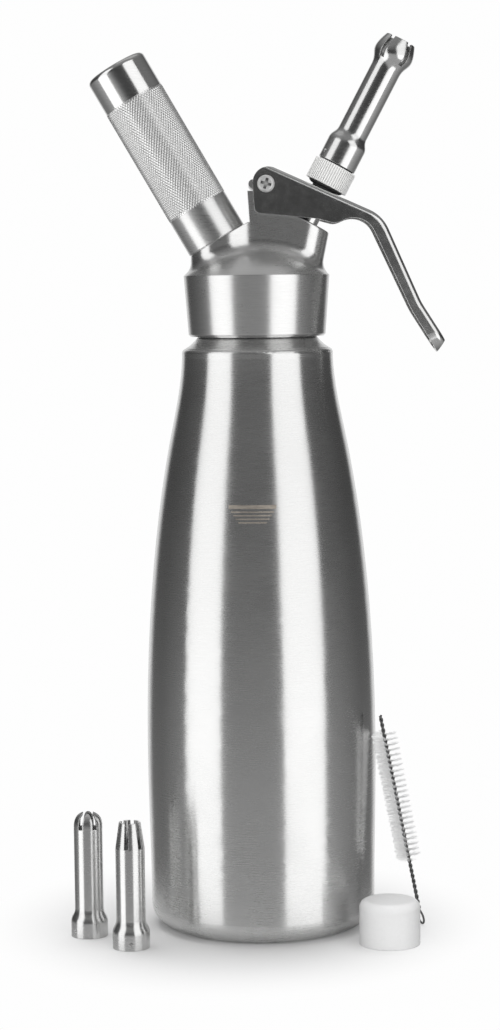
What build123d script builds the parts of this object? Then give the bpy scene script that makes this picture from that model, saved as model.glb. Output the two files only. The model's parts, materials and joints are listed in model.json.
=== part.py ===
from build123d import *
import os
from math import cos, hypot, radians, sin, tan

os.makedirs("parts", exist_ok=True)

# Driving dimensions, in millimetres and degrees

# Bottle: radii on the outside, heights above the floor or below the shoulder edge
FOOT_R = 36.8
FOOT_RIM = 5.0
FOOT_CORNER_R = 8.4
BASE_RISE = 3.0
BELLY_R = 46.0
BELLY_Z = 60.0
CURVE_R = 43.1
CURVE_DROP = 91.4
TAPER_R = 34.85
TAPER_DROP = 33.4
SHOULDER_R = 30.1
SHOULDER_Z = 231.4
SHOULDER_BAND = 2.9
SHOULDER_SLOPE = 29.8
SHOULDER_ROUND = 1.8
NECK_R = 23.7
NECK_L = 18.9
NECK_WALL = 2.2
NECK_ROUND = 0.8
BOTTLE_WALL = 1.0

# Head: skirt ring, crown, and the seal on the bottle's rim
RING_GAP = 1.9
RING_L = 24.0
RING_BOTTOM_R = 27.3
RING_TOP_R = 29.0
RING_LIP_ROUND = 0.8
CROWN_RISE = 10.2
CAST_ROUND = 6.0
NECK_THREAD = 0.5
NECK_CLEARANCE = 0.3
GASKET_T = 2.5
GASKET_W = 3.4

# Charger arm: lengths run outwards along its axis from the bottle's axis
CHARGER_TILT = 30.0
CHARGER_DROP = 13.0
CHARGER_SEAM = 31.4
CHARGER_BOSS_R = 12.2
RIM_DROP = 0.4
RIM_INSET = 0.2
SADDLE_START = 2.5
SADDLE_END = 2.3
SPIGOT_R = 10.6
SPIGOT_L = 13.1
SPIGOT_CLEARANCE = 0.3
SEAT_DEPTH = 6.2
SEAT_CLEARANCE = 0.7
PIN_SEAL_T = 1.2
PIN_BODY_R = 2.5
PIN_BODY_L = 8.3
NEEDLE_R = 1.2
NEEDLE_L = 5.3
NEEDLE_POINT = 1.4
NEEDLE_BORE_R = 0.5
PIERCED_R = 1.5
GAS_PASSAGE_R = 1.2
CHECK_POCKET_R = 4.0
CHECK_POCKET_END = 16.0
CHECK_FLANGE_T = 2.0
CHECK_NOSE_L = 3.5
CHECK_NOSE_R = 2.4
CHECK_TIP_R = 1.2
CHECK_SLIT = 0.3

# Gas charger
BULB_R = 9.0
BULB_L = 65.5
BULB_NECK_R = 4.3
BULB_NECK_L = 8.0
BULB_SHOULDER_L = 10.5
BULB_END_L = 8.0
BULB_WALL = 2.0
BULB_CAP_T = 1.5

# Charger holder
HOLDER_R = 12.45
HOLDER_L = 79.0
HOLDER_BAND = 15.0
HOLDER_GRIP_SINK = 0.12
HOLDER_TOP_ROUND = 2.0
HOLDER_CLEARANCE = 0.4
HOLDER_END_GAP = 0.3
HOLDER_THREAD_L = 14.2

# Outlet arm: lengths run outwards along its axis from the bottle's axis
OUTLET_TILT = 28.0
OUTLET_DROP = 17.2
VALVE_BOSS_TOP = 43.4
STEM_R = 4.25
STEM_FIT = 0.05
STEM_BORE_R = 2.4
STEM_WAIST_R = 3.2
STEM_THREAD_R = 3.6
STEM_TOP = 64.0
STEM_PORT_R = 1.1
THROAT_R = 4.7
THROAT_L = 3.6
GUIDE_L = 6.0
SEAT_LAND = 0.5
VALVE_POCKET_R = 7.4
VALVE_SEAL_R = 6.4
VALVE_SEAL_T = 3.0
SEAL_NUT_FLATS = 9.0
SEAL_NUT_T = 2.2
O_RING_T = 2.4
O_RING_W = 1.5
CHAMBER_R = 6.2
GLAND_R = 7.0
GLAND_L = 3.8
COLLAR_T = 1.5
COLLAR_R = 5.9
COLLAR_GROOVE = 0.5
COLLAR_GAP = 0.4
SPRING_WIRE_R = 0.45
SPRING_PLAY = 0.35
SPRING_TURNS = 4

# Pillar of the head: flat sides, a leaning round end under the valve boss, and the lever lug
PILLAR_W = 19.0
PILLAR_END_X = 15.85
PILLAR_LEAN = 11.5
PILLAR_TOP_EDGE = 0.8
HEEL_X = -3.3
HEEL_DROP = 2.65
HEEL_DRAFT = 3.5
EYE_R = 5.0
NOSE_R = 1.8
NOSE_REACH = 5.1

# Lever, in the outlet arm's own frame: corners are measured from the pivot
PIVOT_ARM = 21.33
PIVOT_HEIGHT = 48.63
SHEET = 1.5
CHEEK_CLEARANCE = 0.3
LEVER_BEND = 2.2
LEVER_REAR_TOP = (-10.0, 6.5)
LEVER_KNEE = (46.5, 10.2)
LEVER_FLARE = (76.0, -12.9)
LEVER_TIP_OUTER = (91.4, -21.6)
LEVER_TIP = (91.0, -27.3)
LEVER_FLARE_INNER = (74.0, -17.5)
LEVER_KNEE_INNER = (39.4, 8.6)
LEVER_HUMP = (31.5, -1.2)
LEVER_HUMP_REAR = (24.7, -2.65)
LEVER_REAR_BOTTOM = (1.3, -12.1)
LEVER_REAR_ROUND = 6.3
LEVER_KNEE_ROUND = 15.0
LEVER_FLARE_ROUND = 30.0
LEVER_KNEE_INNER_ROUND = 9.0
LEVER_HUMP_ROUND = 6.0
LEVER_HUMP_REAR_ROUND = 20.0
LEVER_REAR_BOTTOM_ROUND = 2.5
LEVER_TIP_HALF = 9.2
LEVER_TIP_ROUNDNESS = 0.9
LEVER_NARROWING = 80.0
SLOT_CLEARANCE = 0.6
SLOT_TRAVEL = 1.6

# Lever pivot
SLEEVE_R = 2.5
SLEEVE_FIT = 0.06
SLEEVE_HEAD_R = 3.6
SLEEVE_HEAD_T = 1.6
PIVOT_SIDE_GAP = 0.1
SCREW_R = 1.6
SCREW_L = 12.0
SCREW_HEAD_R = 3.4
SCREW_HEAD_T = 1.9
RECESS_L = 4.2
RECESS_W = 1.1
RECESS_DEPTH = 1.2
RECESS_TURN = 16.0

# Pieces on the stem
WASHER_R = 8.8
WASHER_T = 3.0
WASHER_FLAT_R = 6.3
WASHER_FALL = 1.2
WASHER_GAP = 0.6
SPACER_R = 5.0
ADAPTER_R = 8.1
ADAPTER_L = 8.7
ADAPTER_GAP = 2.1
ADAPTER_SPIGOT_R = 5.4
ADAPTER_SPIGOT_L = 6.5
ADAPTER_BORE_R = 3.0
ADAPTER_EDGE = 0.25
NOZZLE_SEAL_T = 0.6
NOZZLE_SEAL_R = 7.2

# Nozzles
NOZZLE_BASE_R = 7.85
NOZZLE_TUBE_R = 6.1
NOZZLE_WALL = 0.8
NOZZLE_SHOULDER_L = 5.3
SOCKET_CLEARANCE = 0.3
SOCKET_DEPTH = 7.0
DIMPLE_R = 0.8
DIMPLE_DEPTH = 0.9
DIMPLE_Z = 2.8
TULIP_BAND = 8.6
TULIP_TUBE_END = 41.7
TULIP_BULGE_R = 7.85
TULIP_BULGE_Z = 47.4
TULIP_TIP_R = 6.2
TULIP_L = 54.8
TULIP_SLOTS = 5
TULIP_SLOT_W = 2.0
TULIP_SLOT_L = 9.5
TULIP_SLOT_PHASE = 25.0
TULIP_TURN = -59.0
SPARE_BASE_R = 7.3
SPARE_TUBE_R = 5.7
SPARE_BAND = 5.8
SPARE_L = 49.5
DOME_H = 5.4
DOME_MOUTH_R = 2.5
DOME_SLOTS = 6
DOME_SLOT_W = 1.8
DOME_SLOT_L = 6.2
TAPER_NOZZLE_H = 10.2
TAPER_NOZZLE_TIP_R = 4.2
TAPER_NOZZLE_SLOTS = 6
TAPER_NOZZLE_SLOT_W = 1.6
TAPER_NOZZLE_SLOT_L = 10.0

# Port cap
CAP_H = 17.5
CAP_WALL = 1.0
CAP_TOP_T = 1.8
CAP_ROUND = 3.2

# Cleaning brush
BRUSH_L = 88.5
BRUSH_WIRE_R = 0.75
BRUSH_EYE_R = 2.5
BRUSH_EYE_WIRE_R = 0.5
BRISTLE_R = 5.3
BRISTLE_START = 28.0
BRISTLE_L = 53.0
BRUSH_REST_GAP = 0.3
BRUSH_LIFT = 0.05

# Where the loose pieces stand: gap from the bottle's belly, and bearing from +X
DOMED_GAP = 19.5
DOMED_BEARING = 197.6
DOMED_TURN = -45.0
DOMED_SLOT_PHASE = 16.0
TAPERED_GAP = 12.85
TAPERED_BEARING = 218.3
TAPERED_TURN = 2.0
TAPERED_SLOT_PHASE = -15.0
CAP_GAP = 5.25
CAP_BEARING = 321.2
BRUSH_FOOT_GAP = 18.9
BRUSH_FOOT_BEARING = 349.8
BRUSH_HEAD_BEARING = 340.1

# Heights that follow from the bottle and the head
neck_base_z = SHOULDER_Z + (SHOULDER_R - NECK_R) * tan(radians(SHOULDER_SLOPE))
neck_top_z = neck_base_z + NECK_L
neck_bore_r = NECK_R - NECK_WALL
ceiling_z = neck_top_z + GASKET_T
head_bore_r = NECK_R + NECK_THREAD + NECK_CLEARANCE
ring_bottom_z = neck_base_z + RING_GAP
ring_top_z = ring_bottom_z + RING_L
crown_top_z = ring_top_z + CROWN_RISE

# Frames of the two slanted arms, with their own Z running outwards
charger_root_z = ring_top_z - CHARGER_DROP
outlet_root_z = ring_top_z - OUTLET_DROP
charger_frame = Location((0, 0, charger_root_z), (0, -CHARGER_TILT, 0))
outlet_frame = Location((0, 0, outlet_root_z), (0, OUTLET_TILT, 0))

# Stations along the charger arm
spigot_top = CHARGER_SEAM + SPIGOT_L
seat_floor = spigot_top - SEAT_DEPTH
bulb_tip = seat_floor + PIN_SEAL_T
bulb_end = bulb_tip + BULB_L
seat_r = BULB_NECK_R + SEAT_CLEARANCE
holder_thread_r = SPIGOT_R + SPIGOT_CLEARANCE
holder_bore_r = BULB_R + HOLDER_CLEARANCE
holder_top = CHARGER_SEAM + HOLDER_L

# Stations along the outlet arm
tilt_sin = sin(radians(OUTLET_TILT))
tilt_cos = cos(radians(OUTLET_TILT))
valve_seat = (ceiling_z - outlet_root_z + VALVE_POCKET_R * tilt_sin) / tilt_cos + SEAT_LAND
guide_start = valve_seat + THROAT_L
chamber_start = guide_start + GUIDE_L
gland_start = VALVE_BOSS_TOP - GLAND_L
collar_start = gland_start - COLLAR_GAP - COLLAR_T
stem_bottom = valve_seat - VALVE_SEAL_T - SEAL_NUT_T
stem_bore_r = STEM_R + STEM_FIT

# The lever's web over the outlet axis sets the washer and the adapter
pivot = (-PIVOT_ARM, PIVOT_HEIGHT)
web_rise = (LEVER_KNEE[1] - LEVER_REAR_TOP[1]) / (LEVER_KNEE[0] - LEVER_REAR_TOP[0])
web_top = PIVOT_HEIGHT + LEVER_REAR_TOP[1] + (PIVOT_ARM - LEVER_REAR_TOP[0]) * web_rise
washer_top = web_top - SHEET * hypot(1, web_rise) - WASHER_GAP
washer_start = washer_top - WASHER_T
adapter_start = web_top + ADAPTER_GAP
adapter_top = adapter_start + ADAPTER_L
nozzle_start = adapter_top + NOZZLE_SEAL_T
cheek_inner = PILLAR_W / 2 + CHEEK_CLEARANCE
cheek_outer = cheek_inner + SHEET
pivot_face = cheek_outer + PIVOT_SIDE_GAP
socket_r = ADAPTER_SPIGOT_R + SOCKET_CLEARANCE
cap_bore_r = SPIGOT_R + SPIGOT_CLEARANCE
cap_r = cap_bore_r + CAP_WALL


def rod(radius, low, high):
    """Upright cylinder between two heights."""
    return Pos(0, 0, low) * Cylinder(radius, high - low, align=(Align.CENTER, Align.CENTER, Align.MIN))


def ring(outer, inner, low, high):
    """Upright tube between two heights."""
    return rod(outer, low, high) - rod(inner, low, high)


def spun(outline):
    """Solid of revolution about Z from a closed outline of radius and height."""
    return revolve(Plane.XZ * make_face(outline), Axis.Z)


def turned(*corners):
    """Solid of revolution about Z from straight-edged corners."""
    return spun(Polyline(*corners, close=True))


def side_plate(outline, half_width):
    """Plate with an outline in X and Z, equally thick on both sides of Y = 0."""
    return extrude(Plane.XZ * make_face(outline), half_width, both=True)


def to_world(across, along):
    """X and Z of a point given in the outlet arm's frame."""
    return (
        across * tilt_cos + along * tilt_sin,
        outlet_root_z + along * tilt_cos - across * tilt_sin,
    )


def shoulder_z(radius, inset):
    """Height of the bottle's sloped shoulder, or of its inner face."""
    slope = tan(radians(SHOULDER_SLOPE))
    return SHOULDER_Z + (SHOULDER_R - radius) * slope - inset * hypot(1, slope)


def bottle_solid(inset, neck_r):
    """Bottle filled to its outer face, or to its inner face when inset by the wall."""
    dish_r = FOOT_R - FOOT_RIM
    corner_r = FOOT_CORNER_R - inset
    taper_top = SHOULDER_Z - SHOULDER_BAND
    edge_r = SHOULDER_R - inset
    dish = TangentArc((0, BASE_RISE + inset), (dish_r, inset), tangent=(1, 0))
    rim = Line((dish_r, inset), (FOOT_R, inset))
    corner = JernArc((FOOT_R, inset), (1, 0), corner_r, 90)
    side = Spline(
        corner @ 1,
        (BELLY_R - inset, BELLY_Z),
        (CURVE_R - inset, SHOULDER_Z - CURVE_DROP),
        (TAPER_R - inset, SHOULDER_Z - TAPER_DROP),
        (edge_r, taper_top),
        tangents=((0, 1), (-0.04, 1)),
    )
    upper = FilletPolyline(
        (edge_r, taper_top),
        (edge_r, shoulder_z(edge_r, inset)),
        (neck_r, shoulder_z(neck_r, inset)),
        (neck_r, neck_top_z),
        radius=(SHOULDER_ROUND - inset, NECK_ROUND),
    )
    closing = Polyline((neck_r, neck_top_z), (0, neck_top_z), (0, BASE_RISE + inset))
    return spun(dish + rim + corner + side + upper + closing)


def bottle_shell():
    return bottle_solid(0, NECK_R) - bottle_solid(BOTTLE_WALL, neck_bore_r)


def head_gasket():
    outer_r = NECK_R + NECK_THREAD
    return ring(outer_r, outer_r - GASKET_W, neck_top_z, ceiling_z)


def crown_curve():
    """Side view of the crown, from the ring's top edge to the middle."""
    return Spline((RING_TOP_R, ring_top_z), (0, crown_top_z), tangents=((-1, 1), (-1, 0)))


def head_crown():
    """Skirt ring and domed crown, filled."""
    side = Polyline(
        (0, crown_top_z),
        (0, ring_bottom_z),
        (RING_BOTTOM_R - RING_LIP_ROUND, ring_bottom_z),
        (RING_BOTTOM_R, ring_bottom_z + RING_LIP_ROUND),
        (RING_TOP_R, ring_top_z),
    )
    return spun(side + crown_curve())


def rooted_in_crown(arms):
    """Join the arms to the crown with a rounded root."""
    curve = crown_curve()

    def on_crown(edge):
        middle = edge @ 0.5
        in_side_view = Vertex(hypot(middle.X, middle.Y), middle.Z, 0)
        return middle.Z > ring_top_z + RIM_DROP and curve.distance_to(in_side_view) < RIM_DROP / 20

    joined = head_crown() + arms
    return fillet(joined.edges().filter_by(on_crown), CAST_ROUND)


def charger_boss():
    """Upright boss under the charger's seam whose sides flow in to the pillar, and its narrower rim."""
    tilt = radians(CHARGER_TILT)
    top = CHARGER_SEAM - RIM_DROP
    middle_x = -top * sin(tilt)
    middle_z = charger_root_z + top * cos(tilt)
    left_x = middle_x - CHARGER_BOSS_R
    below_seam = Polyline(
        (left_x, middle_z - CHARGER_BOSS_R * tan(tilt)),
        (HEEL_X, middle_z + (HEEL_X - middle_x) * tan(tilt)),
        (PILLAR_END_X, middle_z + (HEEL_X - middle_x) * tan(tilt)),
        (PILLAR_END_X, ring_top_z),
        (left_x, ring_top_z),
        close=True,
    )
    start = (middle_x + SADDLE_START, CHARGER_BOSS_R)
    end = (HEEL_X + SADDLE_END, PILLAR_W / 2)
    flow = Line((middle_x, CHARGER_BOSS_R), start) + Spline(start, end, tangents=((1, 0), (1, 0)))
    flow += Line(end, (PILLAR_END_X, PILLAR_W / 2))
    round_side = EllipticalCenterArc(
        (middle_x, 0), CHARGER_BOSS_R * cos(tilt), CHARGER_BOSS_R, start_angle=90, arc_size=180
    )
    in_pillar = Line((PILLAR_END_X, PILLAR_W / 2), (PILLAR_END_X, -PILLAR_W / 2))
    plan = make_face(round_side + flow + mirror(flow, Plane.XZ) + in_pillar)
    boss = Pos(0, 0, ring_top_z) * extrude(plan, CHARGER_SEAM) & side_plate(below_seam, CHARGER_BOSS_R)
    return boss + charger_frame * rod(CHARGER_BOSS_R - RIM_INSET, top - RIM_DROP, CHARGER_SEAM)


def head_pillar():
    """Flat-sided pillar that carries the valve boss, the heel and the lever's eye."""
    pivot_x, pivot_z = to_world(*pivot)
    heel_z = pivot_z - HEEL_DROP
    foot_x = HEEL_X + (heel_z - ring_top_z) * tan(radians(HEEL_DRAFT))
    lean = tan(radians(PILLAR_LEAN))
    far = PILLAR_END_X + PILLAR_W + (heel_z - ring_top_z) * lean
    boss_near = to_world(-PILLAR_W / 2, VALVE_BOSS_TOP)
    boss_far = to_world(PILLAR_W, VALVE_BOSS_TOP)
    profile = Polyline(
        (foot_x, ring_top_z),
        (HEEL_X, heel_z),
        (pivot_x, heel_z),
        (pivot_x, pivot_z),
        (pivot_x + EYE_R, pivot_z),
        boss_near,
        boss_far,
        (far, ring_top_z),
        close=True,
    )
    block = side_plate(profile, PILLAR_W / 2)
    round_end = Location((PILLAR_END_X, 0, ring_top_z), (0, PILLAR_LEAN, 0))
    end_plan = SlotCenterToCenter(4 * PILLAR_W, PILLAR_W)
    end_prism = extrude(Pos(-2 * PILLAR_W, 0, 0) * end_plan, 2 * PILLAR_W, both=True)
    block = block & (round_end * end_prism)
    boss_edges = block.edges().filter_by(lambda e: e.geom_type == GeomType.ELLIPSE).sort_by(Axis.Z)
    block = fillet(boss_edges[-1:], PILLAR_TOP_EDGE)
    across = Rot(90, 0, 0)
    eye = Pos(pivot_x, 0, pivot_z) * across * Cylinder(EYE_R, PILLAR_W)
    nose = Pos(pivot_x - NOSE_REACH, 0, pivot_z) * across * Cylinder(NOSE_R, PILLAR_W)
    bridge = Pos(pivot_x - NOSE_REACH / 2, 0, pivot_z) * Box(NOSE_REACH, PILLAR_W, 2 * NOSE_R)
    return block + eye + nose + bridge


def head_casting():
    spigot = charger_frame * rod(SPIGOT_R, CHARGER_SEAM, spigot_top)
    casting = rooted_in_crown(head_pillar() + charger_boss()) + spigot
    casting -= rod(head_bore_r, ring_bottom_z - RING_L, ceiling_z)
    casting -= outlet_frame * (
        rod(VALVE_POCKET_R, 0, valve_seat)
        + rod(THROAT_R, valve_seat, guide_start)
        + rod(stem_bore_r, guide_start, chamber_start)
        + rod(STEM_R + O_RING_W, *o_ring_span())
        + rod(CHAMBER_R, chamber_start, gland_start)
        + rod(GLAND_R, gland_start, VALVE_BOSS_TOP + PILLAR_W)
    )
    casting -= charger_frame * (
        rod(CHECK_POCKET_R, 0, CHECK_POCKET_END)
        + rod(GAS_PASSAGE_R, CHECK_POCKET_END, seat_floor - PIN_BODY_L)
        + rod(PIN_BODY_R, seat_floor - PIN_BODY_L, seat_floor)
        + rod(seat_r, seat_floor, spigot_top)
    )
    pivot_x, pivot_z = to_world(*pivot)
    casting -= Pos(pivot_x, 0, pivot_z) * Rot(90, 0, 0) * Cylinder(SLEEVE_R, 2 * PILLAR_W)
    return casting


def o_ring_span():
    """Stations of the O-ring groove, in the middle of the stem's guide."""
    middle = guide_start + GUIDE_L / 2
    return middle - O_RING_T / 2, middle + O_RING_T / 2


def piercing_pin():
    shoulder = seat_floor
    tip = shoulder + NEEDLE_L
    return charger_frame * turned(
        (NEEDLE_BORE_R, shoulder - PIN_BODY_L),
        (PIN_BODY_R, shoulder - PIN_BODY_L),
        (PIN_BODY_R, shoulder),
        (NEEDLE_R, shoulder),
        (NEEDLE_R, tip - NEEDLE_POINT),
        (NEEDLE_BORE_R, tip),
    )


def pin_seal():
    return charger_frame * ring(seat_r, PIERCED_R, seat_floor, bulb_tip)


def check_valve():
    flange = CHECK_POCKET_END - CHECK_FLANGE_T
    body = turned(
        (0, flange - CHECK_NOSE_L),
        (CHECK_TIP_R, flange - CHECK_NOSE_L),
        (CHECK_NOSE_R, flange),
        (CHECK_POCKET_R, flange),
        (CHECK_POCKET_R, CHECK_POCKET_END),
        (0, CHECK_POCKET_END),
    )
    gas_hole = rod(GAS_PASSAGE_R, flange, CHECK_POCKET_END)
    slit_z = flange - CHECK_NOSE_L / 2
    slit = Pos(0, 0, slit_z) * Box(2 * CHECK_TIP_R, CHECK_SLIT, CHECK_NOSE_L)
    return charger_frame * (body - gas_hole - slit)


def gas_charger():
    """Steel gas bulb with its neck pierced by the pin."""
    neck_top = bulb_tip + BULB_NECK_L
    body_start = neck_top + BULB_SHOULDER_L
    body_end = bulb_end - BULB_END_L
    inner_r = BULB_R - BULB_WALL
    neck_inner_r = BULB_NECK_R - BULB_WALL / 2
    cap_inner = bulb_tip + BULB_CAP_T
    outer = (
        Polyline((PIERCED_R, bulb_tip), (BULB_NECK_R, bulb_tip), (BULB_NECK_R, neck_top))
        + Spline((BULB_NECK_R, neck_top), (BULB_R, body_start), tangents=((0, 1), (0, 1)))
        + Line((BULB_R, body_start), (BULB_R, body_end))
        + Spline((BULB_R, body_end), (0, bulb_end), tangents=((0, 1), (-1, 0)))
    )
    inner = (
        Line((0, bulb_end), (0, bulb_end - BULB_WALL))
        + Spline((0, bulb_end - BULB_WALL), (inner_r, body_end), tangents=((1, 0), (0, -1)))
        + Line((inner_r, body_end), (inner_r, body_start + BULB_WALL))
        + Spline(
            (inner_r, body_start + BULB_WALL),
            (neck_inner_r, neck_top + BULB_WALL),
            tangents=((0, -1), (0, -1)),
        )
        + Polyline(
            (neck_inner_r, neck_top + BULB_WALL),
            (neck_inner_r, cap_inner),
            (PIERCED_R, cap_inner),
            (PIERCED_R, bulb_tip),
        )
    )
    return charger_frame * spun(outer + inner)


def charger_holder():
    """Screw-on cup: a smooth band at each end and a sunk band for the grip between them."""
    grip_r = HOLDER_R - HOLDER_GRIP_SINK
    grip_start = CHARGER_SEAM + HOLDER_BAND
    grip_end = holder_top - HOLDER_BAND
    thread_end = CHARGER_SEAM + HOLDER_THREAD_L
    lead = holder_thread_r - holder_bore_r
    inner_end = bulb_end + HOLDER_END_GAP
    dome_start = bulb_end - BULB_END_L
    outer = FilletPolyline(
        (holder_thread_r, CHARGER_SEAM),
        (HOLDER_R, CHARGER_SEAM),
        (HOLDER_R, grip_start),
        (grip_r, grip_start),
        (grip_r, grip_end),
        (HOLDER_R, grip_end),
        (HOLDER_R, holder_top),
        (0, holder_top),
        radius=(0, 0, 0, 0, 0, HOLDER_TOP_ROUND),
    )
    inner = (
        Line((0, holder_top), (0, inner_end))
        + Spline((0, inner_end), (holder_bore_r, dome_start), tangents=((1, 0), (0, -1)))
        + Polyline(
            (holder_bore_r, dome_start),
            (holder_bore_r, thread_end + lead),
            (holder_thread_r, thread_end),
            (holder_thread_r, CHARGER_SEAM),
        )
    )
    return charger_frame * spun(outer + inner)


def valve_guide():
    return outlet_frame * ring(GLAND_R, stem_bore_r, gland_start, VALVE_BOSS_TOP)


def stem_o_ring():
    return outlet_frame * ring(STEM_R + O_RING_W, stem_bore_r, *o_ring_span())


def valve_stem():
    """Hollow stem: a narrow waist with cross ports at the seat and a thread at the top."""
    waist_end = guide_start
    groove_r = STEM_R - COLLAR_GROOVE
    body = turned(
        (0, stem_bottom),
        (STEM_WAIST_R, stem_bottom),
        (STEM_WAIST_R, waist_end - STEM_R + STEM_WAIST_R),
        (STEM_R, waist_end),
        (STEM_R, collar_start),
        (groove_r, collar_start),
        (groove_r, collar_start + COLLAR_T),
        (STEM_R, collar_start + COLLAR_T),
        (STEM_R, washer_start),
        (STEM_THREAD_R, washer_start),
        (STEM_THREAD_R, STEM_TOP),
        (0, STEM_TOP),
    )
    port_z = valve_seat + STEM_PORT_R + SEAT_LAND
    port = Cylinder(STEM_PORT_R, 4 * STEM_R)
    ports = Pos(0, 0, port_z) * (Rot(90, 0, 0) * port + Rot(0, 90, 0) * port)
    return outlet_frame * (body - rod(STEM_BORE_R, valve_seat, STEM_TOP) - ports)


def valve_seal():
    return outlet_frame * ring(VALVE_SEAL_R, STEM_WAIST_R, valve_seat - VALVE_SEAL_T, valve_seat)


def seal_nut():
    hexagon = RegularPolygon(SEAL_NUT_FLATS / 2, 6, major_radius=False)
    nut = Pos(0, 0, stem_bottom) * extrude(hexagon, SEAL_NUT_T)
    return outlet_frame * (nut - rod(STEM_WAIST_R, stem_bottom, valve_seat))


def valve_spring():
    """Round-wire return spring between the chamber floor and the collar."""
    mean_r = STEM_R + SPRING_PLAY + SPRING_WIRE_R
    height = collar_start - chamber_start - 2 * SPRING_WIRE_R
    path = Helix(height / SPRING_TURNS, height, mean_r)
    section = Plane(origin=path @ 0, z_dir=path % 0) * Circle(SPRING_WIRE_R)
    return outlet_frame * Pos(0, 0, chamber_start + SPRING_WIRE_R) * sweep(section, path)


def spring_collar():
    return outlet_frame * ring(COLLAR_R, STEM_R - COLLAR_GROOVE, collar_start, collar_start + COLLAR_T)


def thrust_washer():
    return outlet_frame * turned(
        (STEM_THREAD_R, washer_start),
        (WASHER_R, washer_start),
        (WASHER_R, washer_top - WASHER_FALL),
        (WASHER_FLAT_R, washer_top),
        (STEM_THREAD_R, washer_top),
    )


def stem_spacer():
    """Spacer that runs through the lever's slot and holds the grip collar off the lever."""
    return outlet_frame * ring(SPACER_R, STEM_THREAD_R, washer_top, adapter_start)


def nozzle_adapter():
    """Grip collar with a spigot up into the nozzle."""
    spigot_end = adapter_top + ADAPTER_SPIGOT_L
    return outlet_frame * turned(
        (STEM_THREAD_R, adapter_start),
        (ADAPTER_R - ADAPTER_EDGE, adapter_start),
        (ADAPTER_R, adapter_start + ADAPTER_EDGE),
        (ADAPTER_R, adapter_top - ADAPTER_EDGE),
        (ADAPTER_R - ADAPTER_EDGE, adapter_top),
        (ADAPTER_SPIGOT_R, adapter_top),
        (ADAPTER_SPIGOT_R, spigot_end),
        (ADAPTER_BORE_R, spigot_end),
        (ADAPTER_BORE_R, STEM_TOP),
        (STEM_THREAD_R, STEM_TOP),
    )


def nozzle_seal():
    return outlet_frame * ring(NOZZLE_SEAL_R, socket_r, adapter_top, nozzle_start)


def lever():
    """Sheet-metal channel: web on top, a cheek on each side, closed by a bend along the web."""

    def at(corner):
        return corner[0] - PIVOT_ARM, corner[1] + PIVOT_HEIGHT

    outline = FilletPolyline(
        at(LEVER_REAR_TOP),
        at(LEVER_KNEE),
        at(LEVER_FLARE),
        at(LEVER_TIP_OUTER),
        at(LEVER_TIP),
        at(LEVER_FLARE_INNER),
        at(LEVER_KNEE_INNER),
        at(LEVER_HUMP),
        at(LEVER_HUMP_REAR),
        at(LEVER_REAR_BOTTOM),
        radius=(
            LEVER_REAR_ROUND,
            LEVER_KNEE_ROUND,
            LEVER_FLARE_ROUND,
            0,
            0,
            LEVER_FLARE_ROUND,
            LEVER_KNEE_INNER_ROUND,
            LEVER_HUMP_ROUND,
            LEVER_HUMP_REAR_ROUND,
            LEVER_REAR_BOTTOM_ROUND,
        ),
        close=True,
    )
    rear = Vector(*at(LEVER_REAR_TOP))
    knee = Vector(*at(LEVER_KNEE))
    flare = Vector(*at(LEVER_FLARE))
    tip = Vector(*at(LEVER_TIP_OUTER))
    start = rear + (rear - knee).normalized() * PILLAR_W
    end = tip + (tip - flare).normalized() * PILLAR_W
    below = end.Y - PILLAR_W
    top_path = FilletPolyline(start, knee, flare, end, radius=(LEVER_KNEE_ROUND, LEVER_FLARE_ROUND))
    section = make_face(top_path + Polyline(end, (end.X, below), (start.X, below), start))
    shell = channel_block(section, lever_plan(cheek_outer, LEVER_TIP_HALF), top_path, 0, LEVER_BEND)
    hollow = channel_block(
        offset(section, -SHEET),
        lever_plan(cheek_inner, LEVER_TIP_HALF - SHEET),
        top_path,
        SHEET,
        LEVER_BEND - SHEET,
    )
    channel = (shell - hollow) & side_plate(outline, 2 * cheek_outer)

    slot_half = SPACER_R + SLOT_CLEARANCE
    slot = SlotCenterToCenter(2 * SLOT_TRAVEL, 2 * slot_half)
    channel -= Pos(0, 0, washer_top) * extrude(slot, WASHER_R)
    channel -= Pos(pivot[0], 0, pivot[1]) * Rot(90, 0, 0) * Cylinder(SLEEVE_R + SLEEVE_FIT, 4 * cheek_outer)
    return outlet_frame * channel


def lever_plan(half_width, tip_half):
    """Lever seen square to its handle: parallel over the pillar, narrowing to a round tip."""
    knee = Vector(LEVER_KNEE[0] - PIVOT_ARM, 0, LEVER_KNEE[1] + PIVOT_HEIGHT)
    tip = Vector(LEVER_TIP[0] - PIVOT_ARM, 0, LEVER_TIP[1] + PIVOT_HEIGHT)
    end = (tip - knee).length - LEVER_TIP_HALF + tip_half
    rear = -LEVER_KNEE[0] - PILLAR_W
    tip_round = tip_half * LEVER_TIP_ROUNDNESS
    plan = FilletPolyline(
        (rear, half_width),
        (0, half_width),
        (end, tip_half),
        (end, -tip_half),
        (0, -half_width),
        (rear, -half_width),
        radius=(0, LEVER_NARROWING, tip_round, tip_round, LEVER_NARROWING, 0),
        close=True,
    )
    frame = Plane(origin=knee, x_dir=tip - knee, z_dir=Vector(0, 1, 0).cross(knee - tip))
    return extrude(frame * make_face(plan), 4 * PILLAR_W, both=True)


def channel_block(section, plan, path, depth, bend):
    """Lever block whose long edges, at a depth under the top path, are rounded."""
    block = extrude(Plane.XZ * section, 2 * PILLAR_W, both=True) & plan

    def upper(edge):
        middle = edge @ 0.5
        gap = path.distance_to(Vertex(middle.X, middle.Z, 0))
        crosswise = edge.geom_type == GeomType.LINE and abs((edge % 0.5).Y) > 0.99
        return abs(gap - depth) < SHEET / 100 and not crosswise

    return fillet(block.edges().filter_by(upper), bend)


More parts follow.
